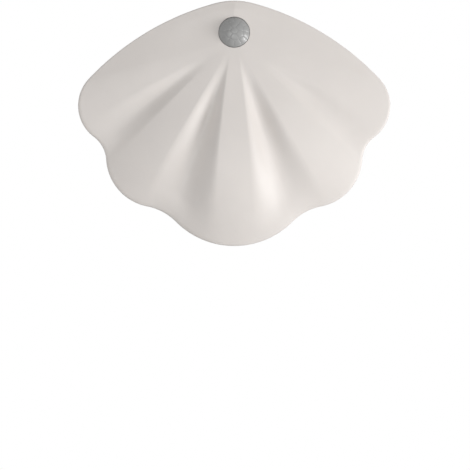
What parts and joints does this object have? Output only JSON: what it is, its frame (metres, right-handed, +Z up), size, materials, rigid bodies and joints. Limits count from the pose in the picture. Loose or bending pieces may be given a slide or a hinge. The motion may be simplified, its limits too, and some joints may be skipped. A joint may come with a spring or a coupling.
{
  "type": "motion sensor night light",
  "caption": "Scallop-shell wall night light with a motion sensor dome, press buttons, a domed light outlet below and a magnetic wall plate.",
  "frame": {"origin": "centre of the wall tape's face on the wall", "axes": "+X to the lamp's right seen from the room, +Y into the wall, +Z up"},
  "size_m": [0.15, 0.0472, 0.1172],
  "materials": {
    "shell_plastic": "warm off-white, fine satin grain",
    "housing_plastic": "warm off-white, fine satin grain",
    "button_plastic": "warm off-white with grey signs",
    "milky_lens": "milky translucent",
    "light_lens": "milky translucent",
    "ring_plastic": "grey translucent with fine turned lines",
    "inner_plastic": "plain moulded",
    "reflector_white": "bright white",
    "board_white": "white solder mask",
    "board_green": "green solder mask",
    "led_phosphor": "yellow phosphor",
    "chip_black": "black moulded",
    "switch_black": "black moulded",
    "can_steel": "plated",
    "socket_steel": "plated",
    "screw_steel": "plated",
    "plate_steel": "plated sheet",
    "magnet_nickel": "nickel plated",
    "battery_foil": "foil pouch",
    "foam_tape": "white foam",
    "lead_cover": "coloured insulation"
  },
  "bodies": {
    "wall_plate": {"wall_plate": "plate_steel", "wall_tape": "foam_tape"},
    "lamp": {"shell_cover": "shell_plastic", "housing": "housing_plastic", "button_strip": "housing_plastic", "motion_lens": "milky_lens", "light_lens": "light_lens", "lens_ring": "ring_plastic", "ring_nut": "inner_plastic", "reflector": "reflector_white", "lamp_board": "board_white", "lamp_led": "led_phosphor", "lamp_screws": "screw_steel", "lamp_leads": "lead_cover", "main_board": "board_green", "board_chips": "chip_black", "board_screws": "screw_steel", "motion_sensor": "can_steel", "light_sensor": "chip_black", "charging_socket": "socket_steel", "power_switch": "switch_black", "brightness_switch": "switch_black", "battery": "battery_foil", "battery_tape": "foam_tape", "battery_leads": "lead_cover", "magnets": "magnet_nickel", "housing_screws": "screw_steel"},
    "power_button": {"power_button": "button_plastic", "power_plunger": "switch_black"},
    "brightness_button": {"brightness_button": "button_plastic", "brightness_plunger": "switch_black"}
  },
  "joints": [
    {"name": "lamp_pull", "type": "slide", "parent": "wall_plate", "child": "lamp", "axis": [0, -1, 0], "range_m": [0, 0.04]},
    {"name": "power_press", "type": "slide", "parent": "lamp", "child": "power_button", "axis": [-0.5736, -0.1112, -0.8116], "range_m": [0, 0.0006], "stiffness_N_per_m": 1500, "springref_m": -0.0005},
    {"name": "brightness_press", "type": "slide", "parent": "lamp", "child": "brightness_button", "axis": [-0.5736, -0.1112, -0.8116], "range_m": [0, 0.0006], "stiffness_N_per_m": 1500, "springref_m": -0.0005}
  ]
}
